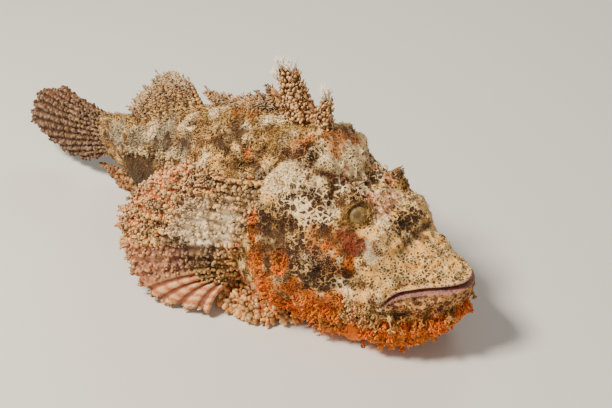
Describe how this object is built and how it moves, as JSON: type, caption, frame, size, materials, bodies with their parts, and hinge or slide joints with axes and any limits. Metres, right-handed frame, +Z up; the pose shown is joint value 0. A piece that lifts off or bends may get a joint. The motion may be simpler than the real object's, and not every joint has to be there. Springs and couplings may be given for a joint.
{
  "type": "scorpionfish",
  "caption": "Bearded scorpionfish at rest on its belly, mouth a little open, pectoral fins spread and dorsal spines raised, as a still life-size model.",
  "frame": {"origin": "on the floor under the belly, in the body's middle plane, just behind the lower end of the gill opening", "axes": "+X out of the mouth along the body, +Y to the fish's left, +Z up from the floor"},
  "size_m": [0.271, 0.114, 0.1058],
  "materials": {
    "skin": "matt, mottled brown, cream and orange",
    "fins": "matt, pink-brown with cream rays",
    "eyes": "gloss, olive brown"
  },
  "bodies": {
    "root": {"head": "skin", "lower_jaw": "skin", "torso": "skin", "tail_stalk": "skin", "eye_left": "eyes", "eye_right": "eyes", "pectoral_fin_left": "fins", "pectoral_fin_right": "fins", "pelvic_fin_left": "fins", "pelvic_fin_right": "fins", "dorsal_fin_spiny": "fins", "dorsal_fin_soft": "fins", "anal_fin": "fins", "caudal_fin": "fins"}
  },
  "joints": []
}
